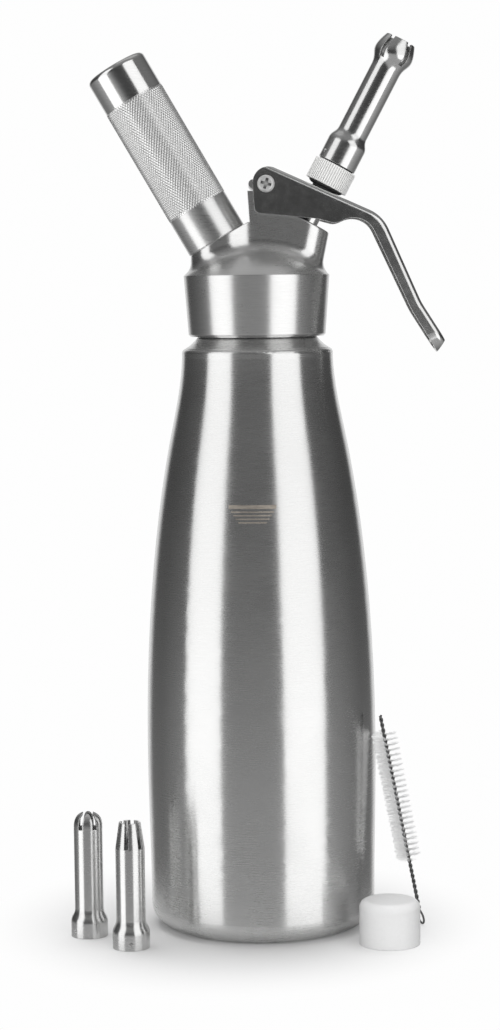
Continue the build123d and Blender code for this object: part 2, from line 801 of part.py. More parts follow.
def at_pivot(piece):
    """Move a piece built along Z so that it lies on the lever's pivot, Z pointing to the back."""
    pivot_x, pivot_z = to_world(*pivot)
    return Pos(pivot_x, 0, pivot_z) * Rot(-90, 0, 0) * piece


def pivot_sleeve():
    """Barrel nut with its head at the back."""
    barrel = rod(SLEEVE_R, -pivot_face, pivot_face)
    head = rod(SLEEVE_HEAD_R, pivot_face, pivot_face + SLEEVE_HEAD_T)
    head = fillet(head.edges().group_by(Axis.Z)[-1], SLEEVE_HEAD_T / 2)
    return at_pivot(barrel + head - rod(SCREW_R, -pivot_face, SCREW_L - pivot_face))


def pivot_screw():
    """Pan-head screw at the front, with a cross recess."""
    head = rod(SCREW_HEAD_R, -pivot_face - SCREW_HEAD_T, -pivot_face)
    head = fillet(head.edges().group_by(Axis.Z)[0], SCREW_HEAD_T * 0.7)
    slot = Box(RECESS_L, RECESS_W, 2 * RECESS_DEPTH)
    cross = Pos(0, 0, -pivot_face - SCREW_HEAD_T) * Rot(0, 0, RECESS_TURN) * (slot + Rot(0, 0, 90) * slot)
    return at_pivot(head - cross + rod(SCREW_R, -pivot_face, SCREW_L - pivot_face))


def nozzle_lower(base_r, tube_r, band):
    """Outer and inner edges of a nozzle from its socket up to its tube."""
    tube_start = band + NOZZLE_SHOULDER_L
    outer = Polyline((socket_r, 0), (base_r, 0), (base_r, band)) + Spline(
        (base_r, band), (tube_r, tube_start), tangents=((0, 1), (0, 1))
    )
    inner = Polyline(
        (tube_r - NOZZLE_WALL, tube_start),
        (tube_r - NOZZLE_WALL, SOCKET_DEPTH),
        (socket_r, SOCKET_DEPTH),
        (socket_r, 0),
    )
    return outer, inner, tube_start


def slotted(nozzle, length, count, width, depth, phase):
    """Cut radial slots into a nozzle's tip, counted from the front."""
    reach = 2 * NOZZLE_BASE_R
    blade = Pos(0, -reach / 2, length - depth / 2) * Box(width, reach, depth)
    for turn in range(count):
        nozzle -= Rot(0, 0, 360 / count * turn + phase) * blade
    return nozzle


def dimpled(nozzle, base_r):
    """Sink the small dimple into the front of a nozzle's base."""
    dimple = Rot(90, 0, 0) * Cone(
        0, DIMPLE_R, DIMPLE_DEPTH, align=(Align.CENTER, Align.CENTER, Align.MIN)
    )
    return nozzle - Pos(0, DIMPLE_DEPTH - base_r, DIMPLE_Z) * dimple


def tulip_nozzle():
    """Mounted nozzle: petals that swell out and lean in."""
    outer, inner, tube_start = nozzle_lower(NOZZLE_BASE_R, NOZZLE_TUBE_R, TULIP_BAND)
    inner_r = NOZZLE_TUBE_R - NOZZLE_WALL
    outer += Line((NOZZLE_TUBE_R, tube_start), (NOZZLE_TUBE_R, TULIP_TUBE_END))
    outer += Spline(
        (NOZZLE_TUBE_R, TULIP_TUBE_END),
        (TULIP_BULGE_R, TULIP_BULGE_Z),
        (TULIP_TIP_R, TULIP_L),
        tangents=((0, 1), (-0.45, 1)),
    )
    outer += Line((TULIP_TIP_R, TULIP_L), (TULIP_TIP_R - NOZZLE_WALL, TULIP_L - NOZZLE_WALL / 2))
    outer += Spline(
        (TULIP_TIP_R - NOZZLE_WALL, TULIP_L - NOZZLE_WALL / 2),
        (TULIP_BULGE_R - NOZZLE_WALL, TULIP_BULGE_Z),
        (inner_r, TULIP_TUBE_END),
        tangents=((0.45, -1), (0, -1)),
    )
    outer += Line((inner_r, TULIP_TUBE_END), (inner_r, tube_start))
    nozzle = dimpled(spun(outer + inner), NOZZLE_BASE_R)
    nozzle = slotted(nozzle, TULIP_L, TULIP_SLOTS, TULIP_SLOT_W, TULIP_SLOT_L, TULIP_SLOT_PHASE)
    return outlet_frame * Pos(0, 0, nozzle_start) * Rot(0, 0, TULIP_TURN) * nozzle


def spare_nozzle_domed():
    """Spare nozzle with a rounded, slotted end."""
    outer, inner, tube_start = nozzle_lower(SPARE_BASE_R, SPARE_TUBE_R, SPARE_BAND)
    inner_r = SPARE_TUBE_R - NOZZLE_WALL
    dome_start = SPARE_L - DOME_H
    outer += Line((SPARE_TUBE_R, tube_start), (SPARE_TUBE_R, dome_start))
    outer += Spline((SPARE_TUBE_R, dome_start), (DOME_MOUTH_R, SPARE_L), tangents=((0, 1), (-1, 0.4)))
    outer += Line((DOME_MOUTH_R, SPARE_L), (DOME_MOUTH_R, SPARE_L - NOZZLE_WALL))
    outer += Spline(
        (DOME_MOUTH_R, SPARE_L - NOZZLE_WALL), (inner_r, dome_start), tangents=((1, -0.4), (0, -1))
    )
    outer += Line((inner_r, dome_start), (inner_r, tube_start))
    nozzle = dimpled(spun(outer + inner), SPARE_BASE_R)
    nozzle = slotted(nozzle, SPARE_L, DOME_SLOTS, DOME_SLOT_W, DOME_SLOT_L, DOMED_SLOT_PHASE)
    return beside_bottle(DOMED_GAP + SPARE_BASE_R, DOMED_BEARING) * Rot(0, 0, DOMED_TURN) * nozzle


def spare_nozzle_tapered():
    """Spare nozzle with a straight, slotted cone."""
    outer, inner, tube_start = nozzle_lower(SPARE_BASE_R, SPARE_TUBE_R, SPARE_BAND)
    inner_r = SPARE_TUBE_R - NOZZLE_WALL
    cone_start = SPARE_L - TAPER_NOZZLE_H
    outer += Polyline(
        (SPARE_TUBE_R, tube_start),
        (SPARE_TUBE_R, cone_start),
        (TAPER_NOZZLE_TIP_R, SPARE_L),
        (TAPER_NOZZLE_TIP_R - NOZZLE_WALL, SPARE_L),
        (inner_r, cone_start),
        (inner_r, tube_start),
    )
    nozzle = dimpled(spun(outer + inner), SPARE_BASE_R)
    nozzle = slotted(
        nozzle,
        SPARE_L,
        TAPER_NOZZLE_SLOTS,
        TAPER_NOZZLE_SLOT_W,
        TAPER_NOZZLE_SLOT_L,
        TAPERED_SLOT_PHASE,
    )
    return beside_bottle(TAPERED_GAP + SPARE_BASE_R, TAPERED_BEARING) * Rot(0, 0, TAPERED_TURN) * nozzle


def beside_bottle(distance, bearing):
    """Place on the floor, at a distance from the bottle's belly."""
    reach = BELLY_R + distance
    return Pos(reach * cos(radians(bearing)), reach * sin(radians(bearing)), 0)


def port_cap():
    """Plastic cap for the charger's spigot, open end down."""
    body = rod(cap_r, 0, CAP_H)
    body = fillet(body.edges().group_by(Axis.Z)[-1], CAP_ROUND)
    return beside_bottle(CAP_GAP + cap_r, CAP_BEARING) * (body - rod(cap_bore_r, 0, CAP_H - CAP_TOP_T))


def brush_frame():
    """Frame that stands on the brush's eye and leans with its bristles against the bottle."""
    foot = beside_bottle(BRUSH_FOOT_GAP, BRUSH_FOOT_BEARING).position
    head = beside_bottle(BRISTLE_R + BRUSH_REST_GAP, BRUSH_HEAD_BEARING).position
    across = Vector(head.X - foot.X, head.Y - foot.Y, 0)
    reach = BRISTLE_START + BRISTLE_L
    height = (reach**2 - across.length**2) ** 0.5
    lean = Vector(across.X, across.Y, height)
    return Plane(origin=(foot.X, foot.Y, BRUSH_LIFT), z_dir=lean, x_dir=lean.cross(Vector(0, 0, 1))).location


def brush_wire():
    """Twisted wire with an eye at its foot."""
    eye_z = BRUSH_EYE_R + BRUSH_EYE_WIRE_R
    eye = Pos(0, 0, eye_z) * Rot(90, 0, 0) * Torus(BRUSH_EYE_R, BRUSH_EYE_WIRE_R)
    return brush_frame() * (eye + rod(BRUSH_WIRE_R, 2 * BRUSH_EYE_R, BRUSH_L))


def brush_bristles():
    return brush_frame() * ring(BRISTLE_R, BRUSH_WIRE_R, BRISTLE_START, BRISTLE_START + BRISTLE_L)


PIECES = (
    bottle_shell,
    head_casting,
    head_gasket,
    valve_guide,
    stem_o_ring,
    valve_stem,
    valve_seal,
    seal_nut,
    valve_spring,
    spring_collar,
    thrust_washer,
    stem_spacer,
    nozzle_adapter,
    nozzle_seal,
    tulip_nozzle,
    lever,
    pivot_screw,
    pivot_sleeve,
    piercing_pin,
    pin_seal,
    check_valve,
    gas_charger,
    charger_holder,
    spare_nozzle_domed,
    spare_nozzle_tapered,
    port_cap,
    brush_wire,
    brush_bristles,
)

for piece in PIECES:
    export_step(piece(), f"parts/{piece.__name__}.step")
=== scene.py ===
"""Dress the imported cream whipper: finishes, knurl, ribs, threads, brush and a studio stage."""

import json
import math
import random

import bpy
import numpy as np
from bpy.props import FloatProperty, FloatVectorProperty, IntProperty, PointerProperty
from mathutils import Matrix, Vector


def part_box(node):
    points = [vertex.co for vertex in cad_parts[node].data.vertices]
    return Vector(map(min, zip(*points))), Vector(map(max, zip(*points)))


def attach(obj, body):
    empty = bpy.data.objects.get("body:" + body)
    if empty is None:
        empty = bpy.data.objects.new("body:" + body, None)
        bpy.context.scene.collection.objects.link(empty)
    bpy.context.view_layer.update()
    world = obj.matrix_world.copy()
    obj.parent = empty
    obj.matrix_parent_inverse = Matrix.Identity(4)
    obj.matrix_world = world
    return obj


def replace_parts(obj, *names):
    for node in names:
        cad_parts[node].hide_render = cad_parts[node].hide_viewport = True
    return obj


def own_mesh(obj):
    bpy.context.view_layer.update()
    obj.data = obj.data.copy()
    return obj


bl_info = {
    "name": "Cream whipper dresser",
    "version": (1, 0, 0),
    "blender": (4, 5, 0),
    "location": "3D view, sidebar, Whipper tab",
    "description": "Finishes, fine details and studio stage of a cream whipper",
    "category": "Object",
}

MM = 0.001

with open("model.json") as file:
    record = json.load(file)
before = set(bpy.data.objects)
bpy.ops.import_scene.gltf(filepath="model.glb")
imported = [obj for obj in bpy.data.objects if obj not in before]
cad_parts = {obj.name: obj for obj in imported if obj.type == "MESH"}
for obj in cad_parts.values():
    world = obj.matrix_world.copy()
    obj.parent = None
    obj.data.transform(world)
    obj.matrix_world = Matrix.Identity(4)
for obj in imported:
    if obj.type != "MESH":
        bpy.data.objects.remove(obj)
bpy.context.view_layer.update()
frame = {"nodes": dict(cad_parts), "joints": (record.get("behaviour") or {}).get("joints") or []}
nodes = frame["nodes"]
joints = {joint["name"]: joint for joint in frame["joints"]}


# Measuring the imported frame


def arm_frame(joint):
    """Matrix of a slanted arm, with its own Z along the joint's axis."""
    along = Vector(joint["axis"]).normalized()
    side = Vector((0, 1, 0))
    turn = Matrix((side.cross(along), side, along)).transposed().to_4x4()
    return Matrix.Translation(joint["pos_m"]) @ turn


def rod_frame(node):
    """Matrix of a straight leaning rod, with its origin at the rod's lowest station."""
    points = np.array([vertex.co for vertex in nodes[node].data.vertices])
    middle = points.mean(axis=0)
    along = Vector(np.linalg.svd(points - middle, full_matrices=False)[2][0])
    if along.z < 0:
        along.negate()
    across = along.cross(Vector((0, 0, 1))).normalized()
    low = min((Vector(point) - Vector(middle)).dot(along) for point in points)
    turn = Matrix((across, along.cross(across), along)).transposed().to_4x4()
    return Matrix.Translation(Vector(middle) + along * low) @ turn


def polar(node, arm):
    """Radius and station of each of a node's points in an arm's frame, as two arrays."""
    inverse = arm.inverted()
    points = np.array([inverse @ vertex.co for vertex in nodes[node].data.vertices])
    return np.hypot(points[:, 0], points[:, 1]), points[:, 2]


def widest_band(node, arm, chamfer=0.3 * MM):
    """Radius of a node's widest band, and the stations where it starts and ends with its chamfers."""
    radius, station = polar(node, arm)
    wide = radius > radius.max() - chamfer
    return radius.max(), station[wide].min(), station[wide].max()


def sunk_band(node, arm):
    """Radius of the shallow band below a node's widest one, and the stations where it starts and ends."""
    radius, station = polar(node, arm)
    depth = radius.max() - radius
    least, most = 0.05 * MM, 0.5 * MM
    end_rounding = 5 * MM
    sunk = (depth > least) & (depth < most) & (station < station.max() - end_rounding)
    return radius[sunk].max(), station[sunk].min(), station[sunk].max()


def end_radius(node, arm, within=math.inf):
    """Radius of a node's far end face and its station, from the points within a radius of the arm."""
    radius, station = polar(node, arm)
    near = radius < within
    radius, station = radius[near], station[near]
    top = station.max()
    flatness = 0.01 * MM
    return radius[station > top - flatness].max(), top


upright = Matrix.Identity(4)
charger_arm = arm_frame(joints["holder_turn"])
outlet_arm = arm_frame(joints["nozzle_turn"])
brush_rod = rod_frame("brush_bristles")


# Sizes and colours that a user would change


def length(name, description, default):
    """Property for a size in metres."""
    return FloatProperty(
        name=name, description=description, default=default, min=0, unit="LENGTH", precision=5
    )


def colour(name, description, default):
    """Property for a finish's colour."""
    return FloatVectorProperty(
        name=name, description=description, default=default, subtype="COLOR", size=3, min=0, max=1
    )


class WhipperSizes(bpy.types.PropertyGroup):
    """Sizes of the fine details that are laid over the frame."""

    knurl_pitch: length("Knurl pitch", "Width of one diamond of the holder's grip", 1.15 * MM)
    knurl_depth: length("Knurl depth", "Height of the diamonds over the grip's band", 0.2 * MM)
    knurl_slant: FloatProperty(
        name="Knurl slant",
        description="Length of a diamond over its width",
        default=1.6,
        min=0.5,
        max=4,
    )
    collar_ribs: IntProperty(
        name="Collar ribs",
        description="Upright ribs round the nozzle's collar",
        default=56,
        min=12,
        max=120,
    )
    rib_height: length("Rib height", "Height of the collar's ribs", 0.38 * MM)
    rib_cover: length("Rib cover", "Thickness of the collar's ribbed cover", 0.6 * MM)
    flare_width: length("Flare width", "How far the neck's foot spreads on the shoulder", 5.2 * MM)
    neck_pitch: length("Neck pitch", "Pitch of the thread on the bottle's neck", 3.0 * MM)
    spigot_pitch: length("Spigot pitch", "Pitch of the thread under the charger holder", 1.5 * MM)
    nozzle_pitch: length("Nozzle pitch", "Pitch of the thread under the nozzle", 1.0 * MM)
    mark_height: length("Fill mark height", "Height of the top line of the fill mark", 171.8 * MM)
    mark_shift: FloatProperty(
        name="Fill mark shift",
        description="How far the fill mark lies to the right of the bottle's middle",
        default=-2.7 * MM,
        unit="LENGTH",
        precision=5,
    )
    mark_width: length("Fill mark width", "Width of the top line of the fill mark", 18.4 * MM)
    spring_turns: IntProperty(
        name="Spring turns", description="Turns of the valve's return spring", default=4, min=2, max=12
    )
    bristle_radius: length("Bristle thickness", "Radius of one bristle", 0.07 * MM)
    wire_radius: length("Wire thickness", "Radius of one strand of the brush's wire", 0.42 * MM)
    wire_twist: length("Wire twist", "Length of one full twist of the brush's wire", 4.4 * MM)


class WhipperColours(bpy.types.PropertyGroup):
    """Colours of the finishes."""

    satin: colour("Satin steel", "Brushed steel of the bottle and the head", (0.80, 0.80, 0.795))
    polished: colour("Polished steel", "Polished steel of the lever and the nozzles", (0.74, 0.74, 0.735))
    grip: colour("Knurled steel", "Bright steel of the holder's grip", (0.97, 0.97, 0.965))
    screw: colour("Plated steel", "Plated steel of the pivot's screw", (0.60, 0.60, 0.595))
    collar: colour("Collar plastic", "Pale plastic of the nozzle's collar", (0.93, 0.93, 0.92))
    cap: colour("Cap plastic", "White plastic of the port cap", (0.83, 0.83, 0.83))
    bristle: colour("Bristle nylon", "White nylon of the brush", (0.96, 0.96, 0.96))
    wire: colour("Drawn wire", "Dark drawn wire of the brush and the spring", (0.20, 0.20, 0.20))
    rubber: colour("Rubber", "Black rubber of the seals", (0.03, 0.03, 0.03))
    mark: colour("Fill mark", "Etched lines of the fill mark", (0.56, 0.51, 0.45))


class WhipperStage(bpy.types.PropertyGroup):
    """Camera, floor and lights."""

    lens: FloatProperty(
        name="Lens",
        description="Focal length on a 36 mm long side",
        default=85.63,
        min=20,
        max=300,
        unit="CAMERA",
    )
    pitch: FloatProperty(
        name="Pitch",
        description="How far the camera looks down",
        default=math.radians(5.09),
        subtype="ANGLE",
    )
    roll: FloatProperty(
        name="Roll", description="Turn of the picture", default=math.radians(0.65), subtype="ANGLE"
    )
    camera_place: FloatVectorProperty(
        name="Camera place",
        description="Where the camera stands",
        default=(-3.68 * MM, -980 * MM, 252.56 * MM),
        subtype="TRANSLATION",
        unit="LENGTH",
        size=3,
    )
    softbox: FloatProperty(
        name="Softbox level", description="Brightness of the two upright softboxes", default=1.09, min=0
    )
    overhead: FloatProperty(
        name="Overhead level", description="Brightness of the softbox overhead", default=0.22, min=0
    )
    front_fill: FloatProperty(
        name="Front fill level", description="Brightness of the wide lamp in front", default=2.2, min=0
    )
    back_fill: FloatProperty(
        name="Back fill level", description="Brightness of the lamp above and behind", default=3.8, min=0
    )
    floor: colour("Floor", "Pale floor", (0.66, 0.66, 0.66))
    floor_glow: FloatProperty(
        name="Floor glow",
        description="White that the camera sees on top of the floor",
        default=0.10,
        min=0,
        max=1,
        subtype="FACTOR",
    )
    floor_shift: FloatProperty(
        name="Floor shift",
        description="How far the floor's middle lies to the right",
        default=-0.01,
        unit="LENGTH",
    )
    floor_width: length("Floor width", "Where the floor has faded out at the sides, from the middle", 0.105)
    floor_depth: length("Floor depth", "Where the floor has faded out in front and behind", 0.115)


# Finishes


def finish(name, color, metallic, roughness, **sockets):
    """New node material with the shader settings that are the same all over."""
    material = bpy.data.materials.new(name)
    material.use_nodes = True
    shader = material.node_tree.nodes["Principled BSDF"]
    shader.inputs["Base Color"].default_value = (*color, 1)
    shader.inputs["Metallic"].default_value = metallic
    shader.inputs["Roughness"].default_value = roughness
    for socket, value in sockets.items():
        shader.inputs[socket.replace("_", " ")].default_value = value
    return material


def add_node(tree, kind, inputs, **settings):
    """New node with its settings and its inputs, each one a socket to link from or a value."""
    node = tree.nodes.new(kind)
    for key, value in settings.items():
        setattr(node, key, value)
    for key, source in inputs.items():
        if isinstance(source, bpy.types.NodeSocket):
            tree.links.new(source, node.inputs[key])
        else:
            node.inputs[key].default_value = source
    return node


def ramp(tree, value, limits, levels, kind="LINEAR"):
    """Output that goes from one level to another while a value goes between its limits."""
    ends = {"From Min": limits[0], "From Max": limits[1], "To Min": levels[0], "To Max": levels[1]}
    node = add_node(tree, "ShaderNodeMapRange", {"Value": value, **ends}, interpolation_type=kind)
    return node.outputs[0]


def arithmetic(tree, operation, first, second):
    """Output that is the sum or the product of two numbers."""
    return add_node(tree, "ShaderNodeMath", {0: first, 1: second}, operation=operation).outputs[0]


def shade(color, factor):
    """Colour made darker or lighter by a factor."""
    return tuple(channel * factor for channel in color)


def surface(material, tint, rough, relief, stretch, turn=(0, 0, 0), edge=0.25 * MM):
    """Lay grain, faint blotches and rounded edges over a finish.

    tint and rough are the factors and values between which the grain varies, relief its height,
    stretch its waves per metre along X, Y and Z, turn brings the piece's axis to Z, and edge is
    the radius of the rounded edges.
    """
    blotches = 40
    tree = material.node_tree
    shader = tree.nodes["Principled BSDF"]
    color = shader.inputs["Base Color"].default_value[:3]
    place = add_node(tree, "ShaderNodeTexCoord", {}).outputs["Object"]
    turned = add_node(tree, "ShaderNodeMapping", {"Vector": place, "Rotation": turn, "Scale": stretch})
    grain = add_node(
        tree,
        "ShaderNodeTexNoise",
        {"Vector": turned.outputs[0], "Scale": 1.0, "Detail": 4.0, "Roughness": 0.65},
    ).outputs[0]
    blotch = add_node(
        tree, "ShaderNodeTexNoise", {"Vector": place, "Scale": blotches, "Detail": 3.0, "Roughness": 0.5}
    ).outputs[0]
    both = arithmetic(tree, "ADD", grain, blotch)
    # Where a noise, and the sum of two, have most of their values
    noise_limits = (0.32, 0.68)
    sum_limits = (0.7, 1.3)
    tones = add_node(tree, "ShaderNodeValToRGB", {"Fac": grain})
    for stop, position, factor in zip(tones.color_ramp.elements, noise_limits, tint):
        stop.position = position
        stop.color = (*shade(color, factor), 1)
    polish = ramp(tree, both, sum_limits, rough)
    rounded = add_node(tree, "ShaderNodeBevel", {"Radius": edge}, samples=6)
    bump = add_node(
        tree,
        "ShaderNodeBump",
        {"Height": grain, "Strength": 1.0, "Distance": relief, "Normal": rounded.outputs[0]},
    )
    tree.links.new(tones.outputs[0], shader.inputs["Base Color"])
    tree.links.new(polish, shader.inputs["Roughness"])
    tree.links.new(bump.outputs[0], shader.inputs["Normal"])
    return material


# Keeps a direction on the end faces, where the circles have none
END_FACE_TANGENT = (0.001, 0, 0)


def brush_direction(material, axis=(0, 0, 1)):
    """Stretch highlights across the circles that a piece was brushed in, round an axis of its own."""
    tree = material.node_tree
    along = add_node(
        tree,
        "ShaderNodeVectorTransform",
        {0: axis},
        vector_type="VECTOR",
        convert_from="OBJECT",
        convert_to="WORLD",
    ).outputs[0]
    facing = add_node(tree, "ShaderNodeNewGeometry", {}).outputs["Normal"]
    circle = add_node(tree, "ShaderNodeVectorMath", {0: along, 1: facing}, operation="CROSS_PRODUCT")
    tangent = add_node(
        tree, "ShaderNodeVectorMath", {0: circle.outputs[0], 1: END_FACE_TANGENT}, operation="ADD"
    )
    tree.links.new(tangent.outputs[0], tree.nodes["Principled BSDF"].inputs["Tangent"])
    return material


def painted_hollow_shade(material, reach, dark):
    """Paint shade into a finish's colour in its hollows, darker by the share of walls that stand within
    reach.
    """
    tree = material.node_tree
    shader = tree.nodes["Principled BSDF"]
    plain = shader.inputs["Base Color"].links[0].from_socket
    open_share = add_node(
        tree, "ShaderNodeAmbientOcclusion", {"Distance": reach}, samples=8, only_local=True
    ).outputs["AO"]
    walled_in, in_the_open = 0.3, 0.9
    level = ramp(tree, open_share, (walled_in, in_the_open), (dark, 1.0))
    hollow_shaded = add_node(tree, "ShaderNodeVectorMath", {0: plain, "Scale": level}, operation="SCALE").outputs[0]
    tree.links.new(hollow_shaded, shader.inputs["Base Color"])
    return material


def graded(material, axis, start, end, factors):
    """Scale a finish's roughness along an axis, from one factor at the start to another at the end."""
    tree = material.node_tree
    shader = tree.nodes["Principled BSDF"]
    plain = shader.inputs["Roughness"].links[0].from_socket
    place = add_node(tree, "ShaderNodeTexCoord", {}).outputs["Object"]
    along = add_node(tree, "ShaderNodeVectorMath", {0: place, 1: axis}, operation="DOT_PRODUCT")
    factor = ramp(tree, along.outputs["Value"], (start, end), factors)
    tree.links.new(arithmetic(tree, "MULTIPLY", plain, factor), shader.inputs["Roughness"])
    return material


def brushed(name, color, roughness, stretched):
    """New steel whose highlights stretch across its brushing."""
    return finish(
        name,
        color,
        metallic=1.0,
        roughness=roughness,
        Anisotropic=stretched,
        Anisotropic_Rotation=0.25,
    )


def upright_turn(joint):
    """Turn that brings a slanted joint's axis to Z."""
    axis = joint["axis"]
    return 0, -math.atan2(axis[0], axis[2]), 0


def bottle_steel(colours):
    """Satin steel brushed in level circles round the bottle."""
    material = brushed("bottle_steel", colours.satin, roughness=0.28, stretched=0.92)
    surface(
        material,
        tint=(0.96, 1.03),
        rough=(0.24, 0.30),
        relief=0.0005 * MM,
        stretch=(150, 150, 5000),
    )
    return brush_direction(material)


def head_steel(colours):
    """Satin cast steel of the head, with the same level brushing."""
    material = brushed("head_steel", colours.satin, roughness=0.3, stretched=0.7)
    surface(
        material,
        tint=(0.95, 1.04),
        rough=(0.26, 0.32),
        relief=0.001 * MM,
        stretch=(200, 200, 2800),
        edge=0.4 * MM,
    )
    return brush_direction(material)


def holder_steel(colours):
    """Turned steel of the holder's smooth bands, satin at the foot and polished at the end."""
    joint = joints["holder_turn"]
    material = brushed("holder_steel", colours.satin, roughness=0.24, stretched=0.6)
    surface(
        material,
        tint=(0.94, 1.05),
        rough=(0.2, 0.3),
        relief=0.001 * MM,
        stretch=(200, 200, 3000),
        turn=upright_turn(joint),
    )
    base = Vector(joint["pos_m"]).dot(Vector(joint["axis"]))
    _, start, end = sunk_band("charger_holder", charger_arm)
    graded(material, joint["axis"], base + start, base + end, factors=(1.25, 0.65))
    return brush_direction(material, joint["axis"])


def grip_steel(colours):
    """Bright steel of the knurled grip, with shade painted into its valleys."""
    material = finish("grip_steel", colours.grip, metallic=1.0, roughness=0.3)
    surface(
        material,
        tint=(0.92, 1.05),
        rough=(0.26, 0.34),
        relief=0.001 * MM,
        stretch=(900, 900, 900),
        edge=0.03 * MM,
    )
    # Painted shade: darker colour between the grip's diamonds
    return painted_hollow_shade(material, reach=0.5 * MM, dark=0.4)


def lever_steel(colours):
    """Polished sheet steel of the lever."""
    material = finish("lever_steel", colours.polished, metallic=1.0, roughness=0.15)
    return surface(
        material,
        tint=(0.95, 1.03),
        rough=(0.14, 0.22),
        relief=0.0006 * MM,
        stretch=(300, 900, 300),
    )


def nozzle_steel(colours):
    """Polished turned steel of the mounted nozzle and the small turned pieces."""
    joint = joints["nozzle_turn"]
    material = brushed("nozzle_steel", colours.polished, roughness=0.18, stretched=0.5)
    surface(
        material,
        tint=(0.93, 1.04),
        rough=(0.15, 0.24),
        relief=0.0008 * MM,
        stretch=(300, 300, 2000),
        turn=upright_turn(joint),
    )
    return brush_direction(material, joint["axis"])


def spare_steel(colours):
    """Satin turned steel of the spare nozzles."""
    material = brushed("spare_steel", colours.satin, roughness=0.28, stretched=0.8)
    surface(
        material,
        tint=(0.95, 1.03),
        rough=(0.24, 0.29),
        relief=0.0005 * MM,
        stretch=(300, 300, 3000),
    )
    return brush_direction(material)


def screw_steel(colours):
    """Plated steel of the pivot's screw, with shade painted into its cross recess."""
    material = finish("screw_steel", colours.screw, metallic=0.5, roughness=0.3)
    surface(
        material,
        tint=(0.88, 1.05),
        rough=(0.26, 0.36),
        relief=0.002 * MM,
        stretch=(900, 900, 900),
        edge=0.15 * MM,
    )
    # Painted shade: nearly black colour deep in the screw's recess
    return painted_hollow_shade(material, reach=1.2 * MM, dark=0.08)


def charger_steel(colours):
    """Plated steel of the gas charger and the piercing pin."""
    material = finish("charger_steel", colours.polished, metallic=1.0, roughness=0.25)
    return surface(
        material,
        tint=(0.9, 1.04),
        rough=(0.2, 0.32),
        relief=0.002 * MM,
        stretch=(400, 400, 1200),
    )


def collar_plastic(colours):
    """Pale moulded plastic of the ribbed collar, with shade painted between its ribs."""
    material = finish("collar_plastic", colours.collar, metallic=0.0, roughness=0.35)
    surface(
        material,
        tint=(0.95, 1.02),
        rough=(0.3, 0.42),
        relief=0.004 * MM,
        stretch=(1200, 1200, 1200),
        edge=0.05 * MM,
    )
    # Painted shade: darker colour between the collar's ribs and in its other hollows
    return painted_hollow_shade(material, reach=0.8 * MM, dark=0.6)


def cap_plastic(colours):
    """White moulded plastic that lets a little light through."""
    material = finish(
        "cap_plastic",
        colours.cap,
        metallic=0.0,
        roughness=0.4,
        Subsurface_Weight=0.35,
        Subsurface_Radius=(1.0, 1.0, 1.0),
        Subsurface_Scale=2.0 * MM,
    )
    return surface(
        material,
        tint=(0.98, 1.01),
        rough=(0.36, 0.46),
        relief=0.004 * MM,
        stretch=(700, 700, 700),
        edge=0.4 * MM,
    )


def bristle_nylon(colours):
    """White nylon, a little uneven from bristle to bristle."""
    material = finish("bristle_nylon", colours.bristle, metallic=0.0, roughness=0.45)
    return surface(
        material,
        tint=(0.93, 1.03),
        rough=(0.4, 0.52),
        relief=0.001 * MM,
        stretch=(900, 900, 900),
        edge=0.01 * MM,
    )


def drawn_wire(colours):
    """Dark drawn wire with lengthwise streaks."""
    material = finish("drawn_wire", colours.wire, metallic=1.0, roughness=0.35)
    return surface(
        material,
        tint=(0.75, 1.3),
        rough=(0.3, 0.45),
        relief=0.003 * MM,
        stretch=(2500, 2500, 500),
        edge=0.05 * MM,
    )


def seal_rubber(colours):
    """Matt black rubber with a fine moulded skin."""
    material = finish("seal_rubber", colours.rubber, metallic=0.0, roughness=0.6)
    return surface(
        material,
        tint=(0.8, 1.25),
        rough=(0.55, 0.7),
        relief=0.006 * MM,
        stretch=(1500, 1500, 1500),
    )


def etched_mark(colours):
    """Brownish etching of the fill mark, still a little metallic."""
    material = finish("etched_mark", colours.mark, metallic=1.0, roughness=0.45)
    return surface(
        material,
        tint=(0.8, 1.3),
        rough=(0.45, 0.6),
        relief=0.002 * MM,
        stretch=(300, 300, 3000),
        edge=0.01 * MM,
    )


def dress(material, *names):
    """Give CAD nodes a finish."""
    for name in names:
        slots = nodes[name].data.materials
        slots.clear()
        slots.append(material)


# Building meshes

# Steeper edges than this stay sharp on smooth pieces
SHARP_ANGLE = math.radians(40)


def piece(name, vertices, faces, material, body, arm=upright, smooth=False):
    """New mesh piece, placed in an arm's frame, that rides on a body."""
    mesh = bpy.data.meshes.new(name)
    mesh.from_pydata([arm @ Vector(vertex) for vertex in vertices], [], faces)
    mesh.materials.append(material)
    if smooth:
        mesh.shade_smooth()
    made = bpy.data.objects.new(name, mesh)
    bpy.context.scene.collection.objects.link(made)
    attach(made, body)
    return made


def swept(sections, vertices, faces):
    """Add a closed bar through sections, each with as many points, counter-clockwise seen from the last."""
    first = len(vertices)
    count = len(sections[0])
    for section in sections:
        vertices.extend(section)
    for row in range(len(sections) - 1):
        for side in range(count):
            low = first + row * count
            high = low + count
            after = (side + 1) % count
            faces.append((low + side, low + after, high + after, high + side))
    last = first + (len(sections) - 1) * count
    faces.append(tuple(first + side for side in reversed(range(count))))
    faces.append(tuple(last + side for side in range(count)))


def looped(loops, vertices, faces):
    """Add a closed ring through loops of points, the last one joined to the first."""
    first = len(vertices)
    count = len(loops[0])
    for loop in loops:
        vertices.extend(loop)
    for row in range(len(loops)):
        low = first + row * count
        high = first + (row + 1) % len(loops) * count
        for side in range(count):
            after = (side + 1) % count
            faces.append((low + side, low + after, high + after, high + side))


def on_circle(radius, angle, station):
    """Point at a radius and an angle round Z, at a station along it."""
    return radius * math.cos(angle), radius * math.sin(angle), station


def level_loop(radius, station, turns):
    """Points evenly round a circle."""
    return [on_circle(radius, 2 * math.pi * turn / turns, station) for turn in range(turns)]


